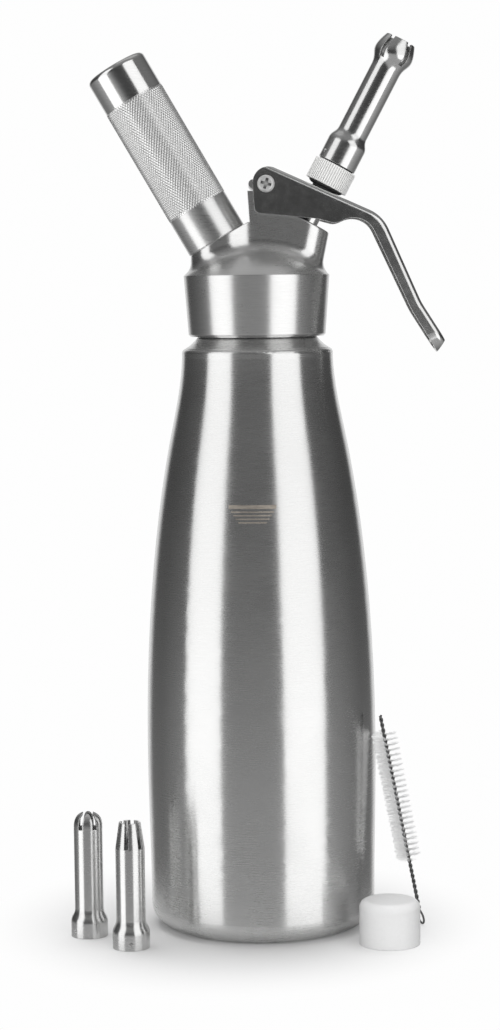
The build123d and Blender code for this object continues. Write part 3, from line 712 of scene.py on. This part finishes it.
def thread(name, arm, radius, height, pitch, start, end, material, body):
    """Right-handed ridge that climbs a cylinder and runs out at both ends."""
    per_turn = 64
    run_out = per_turn // 5
    foot_half = 0.42 * pitch
    crest_half = 0.12 * pitch
    root = radius - 0.1 * height
    steps = int((end - start - pitch) / pitch * per_turn)
    sections = []
    for step in range(steps + 1):
        angle = 2 * math.pi * step / per_turn
        middle = start + pitch / 2 + pitch * step / per_turn
        rise = min(1.0, step / run_out, (steps - step) / run_out)
        crest = radius + height * math.sin(rise * math.pi / 2)
        sections.append(
            [
                on_circle(root, angle, middle + foot_half),
                on_circle(crest, angle, middle + crest_half),
                on_circle(crest, angle, middle - crest_half),
                on_circle(root, angle, middle - foot_half),
            ]
        )
    vertices, faces = [], []
    swept(sections, vertices, faces)
    return piece(name, vertices, faces, material, body, arm)


def neck_flare(sizes, material):
    """Foot of the neck, rising a little hollow from the shoulder's slope to just under the head."""
    bottle = nodes["bottle_shell"]
    neck, _ = end_radius("bottle_shell", upright)
    clearance = 0.3 * MM
    skin = 0.02 * MM
    foot = neck + sizes.flare_width
    rim = neck + skin
    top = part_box("head_casting")[0].z - clearance
    lap = 0.5 * MM
    hollow = 0.5 * MM
    turns = 128
    steps = 8

    def slope_height(distance):
        hit, spot, _, _ = bottle.ray_cast((distance, 0, top), (0, 0, -1))
        if not hit:
            raise RuntimeError("the neck's flare misses the shoulder")
        return spot.z

    low = slope_height(foot)
    loops = []
    for step in range(steps + 1):
        share = step / steps
        height = low + (top - low) * share - hollow * math.sin(math.pi * share)
        loops.append(level_loop(foot + (rim - foot) * share, height, turns))
    loops.append(level_loop(neck - lap, top, turns))
    loops.append(level_loop(neck - lap, slope_height(neck + lap) - 2 * lap, turns))
    vertices, faces = [], []
    looped(loops, vertices, faces)
    made = piece("neck_flare", vertices, faces, material, "bottle", smooth=True)
    made.data.set_sharp_from_angle(angle=SHARP_ANGLE)
    return made


def fill_mark(sizes, material):
    """Stack of level lines that narrows downwards, on the bottle's front."""
    bottle = nodes["bottle_shell"]
    lines = 5
    top_thickness = 1.5 * MM
    line_thickness = 0.55 * MM
    gap = 1.35 * MM
    top_gap = 0.6 * MM
    narrowing = 0.9 * MM
    proud = 0.03 * MM
    steps = 24
    in_front = -1.0
    vertices, faces = [], []
    for line in range(lines):
        thickness = line_thickness if line else top_thickness
        half = sizes.mark_width / 2 - narrowing * line
        middle = sizes.mark_height - gap * line - (top_gap if line else 0)
        sections = []
        for step in range(steps + 1):
            across = sizes.mark_shift + half * (2 * step / steps - 1)
            corners = []
            for height in (middle - thickness / 2, middle + thickness / 2):
                hit, spot, normal, _ = bottle.ray_cast((across, in_front, height), (0, 1, 0))
                if not hit:
                    raise RuntimeError("the fill mark misses the bottle")
                corners.append((spot + normal * proud, spot - normal * proud))
            (low_out, low_in), (high_out, high_in) = corners
            sections.append([high_in, high_out, low_out, low_in])
        swept(sections, vertices, faces)
    return piece("fill_mark", vertices, faces, material, "bottle")


def knurl_sleeve(sizes, material):
    """Closed sleeve of flat-topped diamonds that fills the holder's sunk band."""
    radius, start, end = sunk_band("charger_holder", charger_arm)
    around = 2 * round(2 * math.pi * radius / sizes.knurl_pitch)
    rows = 2 * round((end - start) / (sizes.knurl_pitch * sizes.knurl_slant))
    skin = 0.01 * MM
    wall = 0.3 * MM
    lap = 0.05 * MM
    flat = 0.42
    valley = radius + skin
    crest = valley + sizes.knurl_depth
    sunk = radius - wall
    angle_step = 2 * math.pi / around
    row_step = (end - start) / rows

    vertices, faces, corner = [], [], {}

    def add(distance, column, row):
        vertices.append(on_circle(distance, angle_step * column, start + row_step * row))
        return len(vertices) - 1

    for row in range(rows + 1):
        for column in range(row % 2, around, 2):
            corner[column, row] = add(valley, column, row)
    for row in range(rows + 1):
        for column in range((row + 1) % 2, around, 2):
            left, right = corner[(column - 1) % around, row], corner[(column + 1) % around, row]
            if row == 0:
                faces.append((left, right, corner[column, 1]))
                continue
            if row == rows:
                faces.append((left, corner[column, rows - 1], right))
                continue
            rim = (left, corner[column, row - 1], right, corner[column, row + 1])
            top = (
                add(crest, column - flat, row),
                add(crest, column, row - flat),
                add(crest, column + flat, row),
                add(crest, column, row + flat),
            )
            faces.append(top)
            for side in range(4):
                after = (side + 1) % 4
                faces.append((rim[side], rim[after], top[after], top[side]))
    low_edge = [corner[column, 0] for column in range(0, around, 2)]
    high_edge = [corner[column, rows] for column in range(rows % 2, around, 2)]
    low_ring = [add(sunk, column, -lap / row_step) for column in range(0, around, 2)]
    high_ring = [add(sunk, column, rows + lap / row_step) for column in range(rows % 2, around, 2)]
    count = len(low_edge)
    for side in range(count):
        after = (side + 1) % count
        faces.append((low_edge[side], low_ring[side], low_ring[after], low_edge[after]))
        faces.append((low_ring[side], high_ring[side], high_ring[after], low_ring[after]))
        faces.append((high_ring[side], high_edge[side], high_edge[after], high_ring[after]))
    return piece("holder_knurl", vertices, faces, material, "holder", charger_arm)


def collar_sleeve(sizes, material):
    """Closed sleeve of upright ribs over the nozzle's collar."""
    radius, start, end = widest_band("nozzle_adapter", outlet_arm)
    wall = 0.6 * MM
    edge = 0.1 * MM
    crest = radius + sizes.rib_cover
    valley = crest - sizes.rib_height
    sunk = radius - wall
    rib_turn = 2 * math.pi / sizes.collar_ribs
    # Shares of a rib's turn where it starts to rise, is up, starts to fall and is down
    foot, rise, fall, end_foot = 0.0, 0.08, 0.52, 0.60

    def rib_loop(outer, inner, station):
        loop = []
        for rib in range(sizes.collar_ribs):
            for share, distance in ((foot, inner), (rise, outer), (fall, outer), (end_foot, inner)):
                loop.append(on_circle(distance, rib_turn * (rib + share), station))
        return loop

    vertices, faces = [], []
    looped(
        [
            rib_loop(sunk, sunk, start),
            rib_loop(valley, valley, start),
            rib_loop(crest, valley, start + edge),
            rib_loop(crest, valley, end - edge),
            rib_loop(valley, valley, end),
            rib_loop(sunk, sunk, end),
        ],
        vertices,
        faces,
    )
    return piece("collar_ribs", vertices, faces, material, "valve", outlet_arm)


def collar_shade_bowl(material):
    """Dark shallow bowl under the collar, from near its rim down to the spacer on the stem, standing in for
    the shade under the collar.
    """
    collar, low, _ = widest_band("nozzle_adapter", outlet_arm)
    spacer = polar("stem_spacer", outlet_arm)[0].max()
    inset = 0.8 * MM
    rim = collar - inset
    drop = 1.2 * MM
    lap = 0.3 * MM
    turns = 96
    steps = 6
    loops = []
    for step in range(steps + 1):
        angle = math.pi / 2 * step / steps
        distance = spacer + (rim - spacer) * math.sin(angle)
        loops.append(level_loop(distance, low - drop * math.cos(angle), turns))
    loops.append(level_loop(rim, low + lap, turns))
    loops.append(level_loop(spacer - lap, low + lap, turns))
    loops.append(level_loop(spacer - lap, low - drop, turns))
    vertices, faces = [], []
    looped(loops, vertices, faces)
    made = piece("collar_shade_bowl", vertices, faces, material, "valve", outlet_arm, smooth=True)
    made.data.set_sharp_from_angle(angle=SHARP_ANGLE)
    return made


def return_spring(sizes, material):
    """Coil round the valve's stem."""
    radius, station = polar("valve_spring", outlet_arm)
    low, high = station.min(), station.max()
    coil = (radius.max() + radius.min()) / 2
    thick = (radius.max() - radius.min()) / 2
    per_turn = 40
    sides = 10
    steps = sizes.spring_turns * per_turn
    sections = []
    for step in range(steps + 1):
        angle = 2 * math.pi * step / per_turn
        middle = low + thick + (high - low - 2 * thick) * step / steps
        section = []
        for side in range(sides):
            across, along, _ = on_circle(thick, 2 * math.pi * side / sides, 0)
            section.append(on_circle(coil + across, angle, middle - along))
        sections.append(section)
    vertices, faces = [], []
    swept(sections, vertices, faces)
    made = piece("return_spring", vertices, faces, material, "head", outlet_arm, smooth=True)
    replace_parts(made, "valve_spring")
    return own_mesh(made)


def bristle_fan(sizes, material):
    """Bristles held in a left-handed spiral by the twisted wire, both ends of each one showing."""
    radius, station = polar("brush_bristles", brush_rod)
    reach, low, high = radius.max(), station.min(), station.max()
    dice = random.Random(11)
    thick = sizes.bristle_radius
    count = 1150
    scatter = 0.12
    shortest, longest = 0.9, 0.99
    mean_sweep, sweep_scatter = 0.25, 0.12
    root, bend, end = 0.08, 0.55, 1.0
    vertices, faces = [], []
    for bristle in range(count):
        height = low + (high - low) * (bristle + 0.5) / count
        for half in (0, math.pi):
            angle = half - 2 * math.pi * height / sizes.wire_twist + dice.gauss(0, scatter)
            tip = reach * dice.uniform(shortest, longest)
            sweep = dice.gauss(mean_sweep, sweep_scatter) * MM
            sections = []
            for share in (root, bend, end):
                distance = tip * share
                middle = min(max(height + sweep * share * share, low), high)
                width = thick / distance
                sections.append(
                    [
                        on_circle(distance, angle - width, middle - thick / 2),
                        on_circle(distance, angle + width, middle - thick / 2),
                        on_circle(distance, angle, middle + thick),
                    ]
                )
            swept(sections, vertices, faces)
    made = piece("brush_fan", vertices, faces, material, "brush", brush_rod)
    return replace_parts(made, "brush_bristles")


def twisted_wire(sizes, material):
    """One wire folded into an eye at the foot, its two ends twisted together left-handed."""
    radius, station = polar("brush_wire", brush_rod)
    low, high = station.min(), station.max()
    thick = sizes.wire_radius
    eye_end = low + 6 * MM
    eye_radius = radius[station < eye_end].max() - thick
    eye_middle = low + eye_radius + thick
    eye_steps = 20
    eye_mouth = 0.12
    strand_radius = 0.95 * thick
    start = eye_middle + eye_radius + thick
    per_turn = 14
    steps = int((high - start) / sizes.wire_twist * per_turn)
    strands = ([], [])
    for step in range(steps + 1):
        angle = -2 * math.pi * step / per_turn
        height = start + (high - thick - start) * step / steps
        strands[0].append(on_circle(strand_radius, angle, height))
        strands[1].append(on_circle(strand_radius, angle + math.pi, height))
    eye = []
    for step in range(1, eye_steps):
        share = eye_mouth / 2 + (1 - eye_mouth) * step / eye_steps
        angle = math.pi / 2 - 2 * math.pi * share
        eye.append((eye_radius * math.cos(angle), 0, eye_middle + eye_radius * math.sin(angle)))
    route = strands[0][::-1] + eye + strands[1]
    curve = bpy.data.curves.new("brush_wire_twist", "CURVE")
    curve.dimensions = "3D"
    curve.bevel_depth = thick
    curve.bevel_resolution = 3
    curve.use_fill_caps = True
    spline = curve.splines.new("NURBS")
    spline.points.add(len(route) - 1)
    for point, place in zip(spline.points, route):
        point.co = (*(brush_rod @ Vector(place)), 1)
    spline.order_u = 3
    spline.use_endpoint_u = True
    spline.resolution_u = 2
    curve.materials.append(material)
    made = bpy.data.objects.new("brush_wire_twist", curve)
    bpy.context.scene.collection.objects.link(made)
    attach(made, "brush")
    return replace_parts(made, "brush_wire")


# Stage

BACKGROUND = (0.99, 0.99, 0.99, 1)
LAMP_TARGET = Vector((0, 0, 0.18))


def softbox(name, place, width, height, level, mirrored=True):
    """Lamp turned to the bottle, that the camera doesn't see and steel may mirror."""
    lamp = bpy.data.lights.new(name, "AREA")
    lamp.shape = "RECTANGLE"
    lamp.size = width
    lamp.size_y = height
    lamp.energy = level * math.pi * width * height
    made = bpy.data.objects.new(name, lamp)
    made.location = place
    made.rotation_euler = (LAMP_TARGET - Vector(place)).to_track_quat("-Z", "Y").to_euler()
    made.visible_camera = False
    made.visible_glossy = mirrored
    bpy.context.scene.collection.objects.link(made)


def round_floor(stage):
    """Pale floor that keeps the shadow and fades out into the white background."""
    turns = 96
    below = 0.02 * MM
    reach = (stage.floor_width, stage.floor_depth, 1)
    rim = [Vector(point) * Vector(reach) for point in level_loop(1, -below, turns)]
    mesh = bpy.data.meshes.new("floor")
    mesh.from_pydata(rim, [], [tuple(range(turns))])
    floor = bpy.data.objects.new("floor", mesh)
    floor.location.x = stage.floor_shift
    bpy.context.scene.collection.objects.link(floor)
    material = bpy.data.materials.new("floor_paper")
    material.use_nodes = True
    tree = material.node_tree
    tree.nodes.clear()
    place = add_node(tree, "ShaderNodeTexCoord", {}).outputs["Object"]
    share = add_node(tree, "ShaderNodeVectorMath", {0: place, 1: reach}, operation="DIVIDE").outputs[0]
    distance = add_node(tree, "ShaderNodeVectorMath", {0: share}, operation="LENGTH").outputs["Value"]
    # Shares of the way to the rim where the floor starts to fade and has faded out
    fade_limits = (0.4, 1.0)
    fade = ramp(tree, distance, fade_limits, (0.0, 1.0), kind="SMOOTHSTEP")
    seen = add_node(tree, "ShaderNodeLightPath", {}).outputs["Is Camera Ray"]
    level = arithmetic(tree, "MULTIPLY", seen, stage.floor_glow)
    paper = add_node(tree, "ShaderNodeBsdfDiffuse", {"Color": (*stage.floor, 1)}).outputs[0]
    light = add_node(tree, "ShaderNodeEmission", {"Strength": level}).outputs[0]
    lit = add_node(tree, "ShaderNodeAddShader", {0: paper, 1: light}).outputs[0]
    clear = add_node(tree, "ShaderNodeBsdfTransparent", {}).outputs[0]
    white = add_node(tree, "ShaderNodeEmission", {"Color": BACKGROUND}).outputs[0]
    beyond = add_node(tree, "ShaderNodeMixShader", {0: seen, 1: clear, 2: white}).outputs[0]
    mixed = add_node(tree, "ShaderNodeMixShader", {0: fade, 1: lit, 2: beyond}).outputs[0]
    add_node(tree, "ShaderNodeOutputMaterial", {"Surface": mixed})
    mesh.materials.append(material)


def studio_world():
    """White for the camera; for all else a dim room with a pale wall behind and a pale ground.

    Steel that mirrors the wall sees a share of the white background there as well.
    """
    world = bpy.data.worlds.new("studio")
    bpy.context.scene.world = world
    world.use_nodes = True
    tree = world.node_tree
    tree.nodes.clear()
    way = add_node(tree, "ShaderNodeTexCoord", {}).outputs["Generated"]
    parts = add_node(tree, "ShaderNodeSeparateXYZ", {0: way}).outputs
    # Limits are parts of a direction, with 1 straight back or up, and levels are brightnesses or shares
    wall_limits = (0.80, 0.95)
    wall = ramp(tree, parts["Y"], wall_limits, (0.053, 0.66), kind="SMOOTHSTEP")
    behind = ramp(tree, parts["Y"], wall_limits, (0.0, 0.27), kind="SMOOTHSTEP")
    ceiling = ramp(tree, parts["Z"], (0.15, 0.9), (0.0, 0.2), kind="SMOOTHSTEP")
    ground = ramp(tree, parts["Z"], (-0.02, -0.24), (0.0, 0.345), kind="SMOOTHSTEP")
    front = ramp(tree, parts["Y"], (-0.2, 0.5), (1.0, 0.4))
    sides = arithmetic(tree, "ADD", ceiling, arithmetic(tree, "MULTIPLY", ground, front))
    level = arithmetic(tree, "ADD", wall, sides)
    room = add_node(tree, "ShaderNodeBackground", {"Color": (1, 1, 1, 1), "Strength": level}).outputs[0]
    white = add_node(tree, "ShaderNodeBackground", {"Color": BACKGROUND}).outputs[0]
    rays = add_node(tree, "ShaderNodeLightPath", {}).outputs
    mirrored = arithmetic(tree, "ADD", rays["Is Glossy Ray"], rays["Is Transmission Ray"])
    share = arithmetic(tree, "MULTIPLY", mirrored, behind)
    seen = arithmetic(tree, "ADD", rays["Is Camera Ray"], share)
    both = add_node(tree, "ShaderNodeMixShader", {0: seen, 1: room, 2: white}).outputs[0]
    add_node(tree, "ShaderNodeOutputWorld", {"Surface": both})


def place_camera(stage):
    """Camera in front of the bottle, looking a little down and turned about its own axis."""
    data = bpy.data.cameras.new("camera")
    data.lens = stage.lens
    data.sensor_width = 36.0
    camera = bpy.data.objects.new("camera", data)
    bpy.context.scene.collection.objects.link(camera)
    look = Matrix.Rotation(math.pi / 2 - stage.pitch, 4, "X") @ Matrix.Rotation(-stage.roll, 4, "Z")
    camera.matrix_world = Matrix.Translation(stage.camera_place) @ look
    bpy.context.scene.camera = camera


# Operators


class WHIPPER_OT_bottle(bpy.types.Operator):
    """Brush the bottle, cut its neck thread, spread the neck's foot and etch the fill mark"""

    bl_idname = "whipper.bottle"
    bl_label = "Bottle"

    def execute(self, context):
        sizes = context.scene.whipper_sizes
        colours = context.scene.whipper_colours
        steel = bottle_steel(colours)
        dress(steel, "bottle_shell")
        radius, top = end_radius("bottle_shell", upright)
        lead_in = 1.5 * MM
        thread(
            "neck_thread",
            upright,
            radius,
            height=0.45 * MM,
            pitch=sizes.neck_pitch,
            start=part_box("head_casting")[0].z,
            end=top - lead_in,
            material=steel,
            body="bottle",
        )
        neck_flare(sizes, steel)
        fill_mark(sizes, etched_mark(colours))
        return {"FINISHED"}


class WHIPPER_OT_head(bpy.types.Operator):
    """Finish the cast head, its valve guide and seals, and cut the thread on its charger spigot"""

    bl_idname = "whipper.head"
    bl_label = "Head"

    def execute(self, context):
        sizes = context.scene.whipper_sizes
        colours = context.scene.whipper_colours
        steel = head_steel(colours)
        rubber = seal_rubber(colours)
        dress(steel, "head_casting", "valve_guide")
        dress(rubber, "head_gasket", "stem_o_ring", "pin_seal", "check_valve")
        holder_radius, holder_station = polar("charger_holder", charger_arm)
        radius, top = end_radius("head_casting", charger_arm, holder_radius.max())
        thread(
            "spigot_thread",
            charger_arm,
            radius,
            height=0.22 * MM,
            pitch=sizes.spigot_pitch,
            start=holder_station.min(),
            end=top,
            material=steel,
            body="head",
        )
        return {"FINISHED"}


class WHIPPER_OT_charger(bpy.types.Operator):
    """Finish the gas charger, the pin that pierces it and its holder, and knurl the holder's grip"""

    bl_idname = "whipper.charger"
    bl_label = "Charger and holder"

    def execute(self, context):
        sizes = context.scene.whipper_sizes
        colours = context.scene.whipper_colours
        dress(charger_steel(colours), "gas_charger", "piercing_pin")
        dress(holder_steel(colours), "charger_holder")
        knurl_sleeve(sizes, grip_steel(colours))
        return {"FINISHED"}


class WHIPPER_OT_valve(bpy.types.Operator):
    """Finish the valve's pieces, wind its spring, rib the nozzle's collar and set a dark bowl under it as
    painted shade
    """

    bl_idname = "whipper.valve"
    bl_label = "Valve and collar"

    def execute(self, context):
        sizes = context.scene.whipper_sizes
        colours = context.scene.whipper_colours
        plastic = collar_plastic(colours)
        rubber = seal_rubber(colours)
        dress(nozzle_steel(colours), "valve_stem", "seal_nut", "spring_collar", "thrust_washer")
        # The stem's spacer is dressed in black rubber so that it reads as the shade under the collar
        dress(rubber, "valve_seal", "nozzle_seal", "stem_spacer")
        return_spring(sizes, drawn_wire(colours))
        dress(plastic, "nozzle_adapter")
        collar_sleeve(sizes, plastic)
        # Painted shade: dark bowl under the collar
        collar_shade_bowl(rubber)
        radius, top = end_radius("nozzle_adapter", outlet_arm)
        thread(
            "adapter_thread",
            outlet_arm,
            radius,
            height=0.22 * MM,
            pitch=sizes.nozzle_pitch,
            start=polar("tulip_nozzle", outlet_arm)[1].min(),
            end=top,
            material=plastic,
            body="valve",
        )
        return {"FINISHED"}


class WHIPPER_OT_lever(bpy.types.Operator):
    """Polish the lever and its pivot"""

    bl_idname = "whipper.lever"
    bl_label = "Lever and pivot"

    def execute(self, context):
        colours = context.scene.whipper_colours
        dress(lever_steel(colours), "lever")
        dress(screw_steel(colours), "pivot_screw", "pivot_sleeve")
        return {"FINISHED"}


class WHIPPER_OT_nozzles(bpy.types.Operator):
    """Polish the mounted nozzle and the two spare ones"""

    bl_idname = "whipper.nozzles"
    bl_label = "Nozzles"

    def execute(self, context):
        colours = context.scene.whipper_colours
        dress(nozzle_steel(colours), "tulip_nozzle")
        dress(spare_steel(colours), "spare_nozzle_domed", "spare_nozzle_tapered")
        return {"FINISHED"}


class WHIPPER_OT_cap(bpy.types.Operator):
    """Finish the white port cap"""

    bl_idname = "whipper.cap"
    bl_label = "Port cap"

    def execute(self, context):
        colours = context.scene.whipper_colours
        dress(cap_plastic(colours), "port_cap")
        return {"FINISHED"}


class WHIPPER_OT_brush(bpy.types.Operator):
    """Twist the brush's wire and set its bristles"""

    bl_idname = "whipper.brush"
    bl_label = "Brush"

    def execute(self, context):
        sizes = context.scene.whipper_sizes
        colours = context.scene.whipper_colours
        bristle_fan(sizes, bristle_nylon(colours))
        twisted_wire(sizes, drawn_wire(colours))
        return {"FINISHED"}


class WHIPPER_OT_stage(bpy.types.Operator):
    """Set up the floor, the light and the camera"""

    bl_idname = "whipper.stage"
    bl_label = "Stage"

    def execute(self, context):
        stage = context.scene.whipper_stage
        context.scene.view_settings.view_transform = "Standard"
        round_floor(stage)
        studio_world()
        place_camera(stage)
        softbox("left_softbox", (-0.79, -0.45, 0.28), width=0.68, height=1.5, level=stage.softbox)
        softbox("right_softbox", (0.62, -0.65, 0.28), width=0.76, height=1.5, level=stage.softbox)
        softbox("overhead_softbox", (0, 0.22, 1.3), width=1.0, height=0.8, level=stage.overhead)
        softbox("front_fill", (0, -1.6, 0.3), width=1.6, height=1.2, level=stage.front_fill, mirrored=False)
        softbox("back_fill", (0, 0.3, 1.2), width=1.4, height=0.8, level=stage.back_fill, mirrored=False)
        return {"FINISHED"}


class WHIPPER_PT_panel(bpy.types.Panel):
    """Lists the steps and what they can be changed by"""

    bl_idname = "WHIPPER_PT_panel"
    bl_label = "Cream whipper"
    bl_space_type = "VIEW_3D"
    bl_region_type = "UI"
    bl_category = "Whipper"

    def draw(self, context):
        layout = self.layout
        for operator in STEPS:
            layout.operator(operator.bl_idname)
        scene = context.scene
        for group in (scene.whipper_sizes, scene.whipper_colours, scene.whipper_stage):
            box = layout.box()
            for name in group.bl_rna.properties.keys():
                if name not in ("rna_type", "name"):
                    box.prop(group, name)


GROUPS = (WhipperSizes, WhipperColours, WhipperStage)
STEPS = (
    WHIPPER_OT_bottle,
    WHIPPER_OT_head,
    WHIPPER_OT_charger,
    WHIPPER_OT_valve,
    WHIPPER_OT_lever,
    WHIPPER_OT_nozzles,
    WHIPPER_OT_cap,
    WHIPPER_OT_brush,
    WHIPPER_OT_stage,
)


def register():
    for item in (*GROUPS, *STEPS, WHIPPER_PT_panel):
        bpy.utils.register_class(item)
    bpy.types.Scene.whipper_sizes = PointerProperty(type=WhipperSizes)
    bpy.types.Scene.whipper_colours = PointerProperty(type=WhipperColours)
    bpy.types.Scene.whipper_stage = PointerProperty(type=WhipperStage)


def unregister():
    del bpy.types.Scene.whipper_stage
    del bpy.types.Scene.whipper_colours
    del bpy.types.Scene.whipper_sizes
    for item in reversed((*GROUPS, *STEPS, WHIPPER_PT_panel)):
        bpy.utils.unregister_class(item)


def main():
    register()
    bpy.ops.whipper.bottle()
    bpy.ops.whipper.head()
    bpy.ops.whipper.charger()
    bpy.ops.whipper.valve()
    bpy.ops.whipper.lever()
    bpy.ops.whipper.nozzles()
    bpy.ops.whipper.cap()
    bpy.ops.whipper.brush()
    bpy.ops.whipper.stage()


if __name__ == "__main__":
    main()
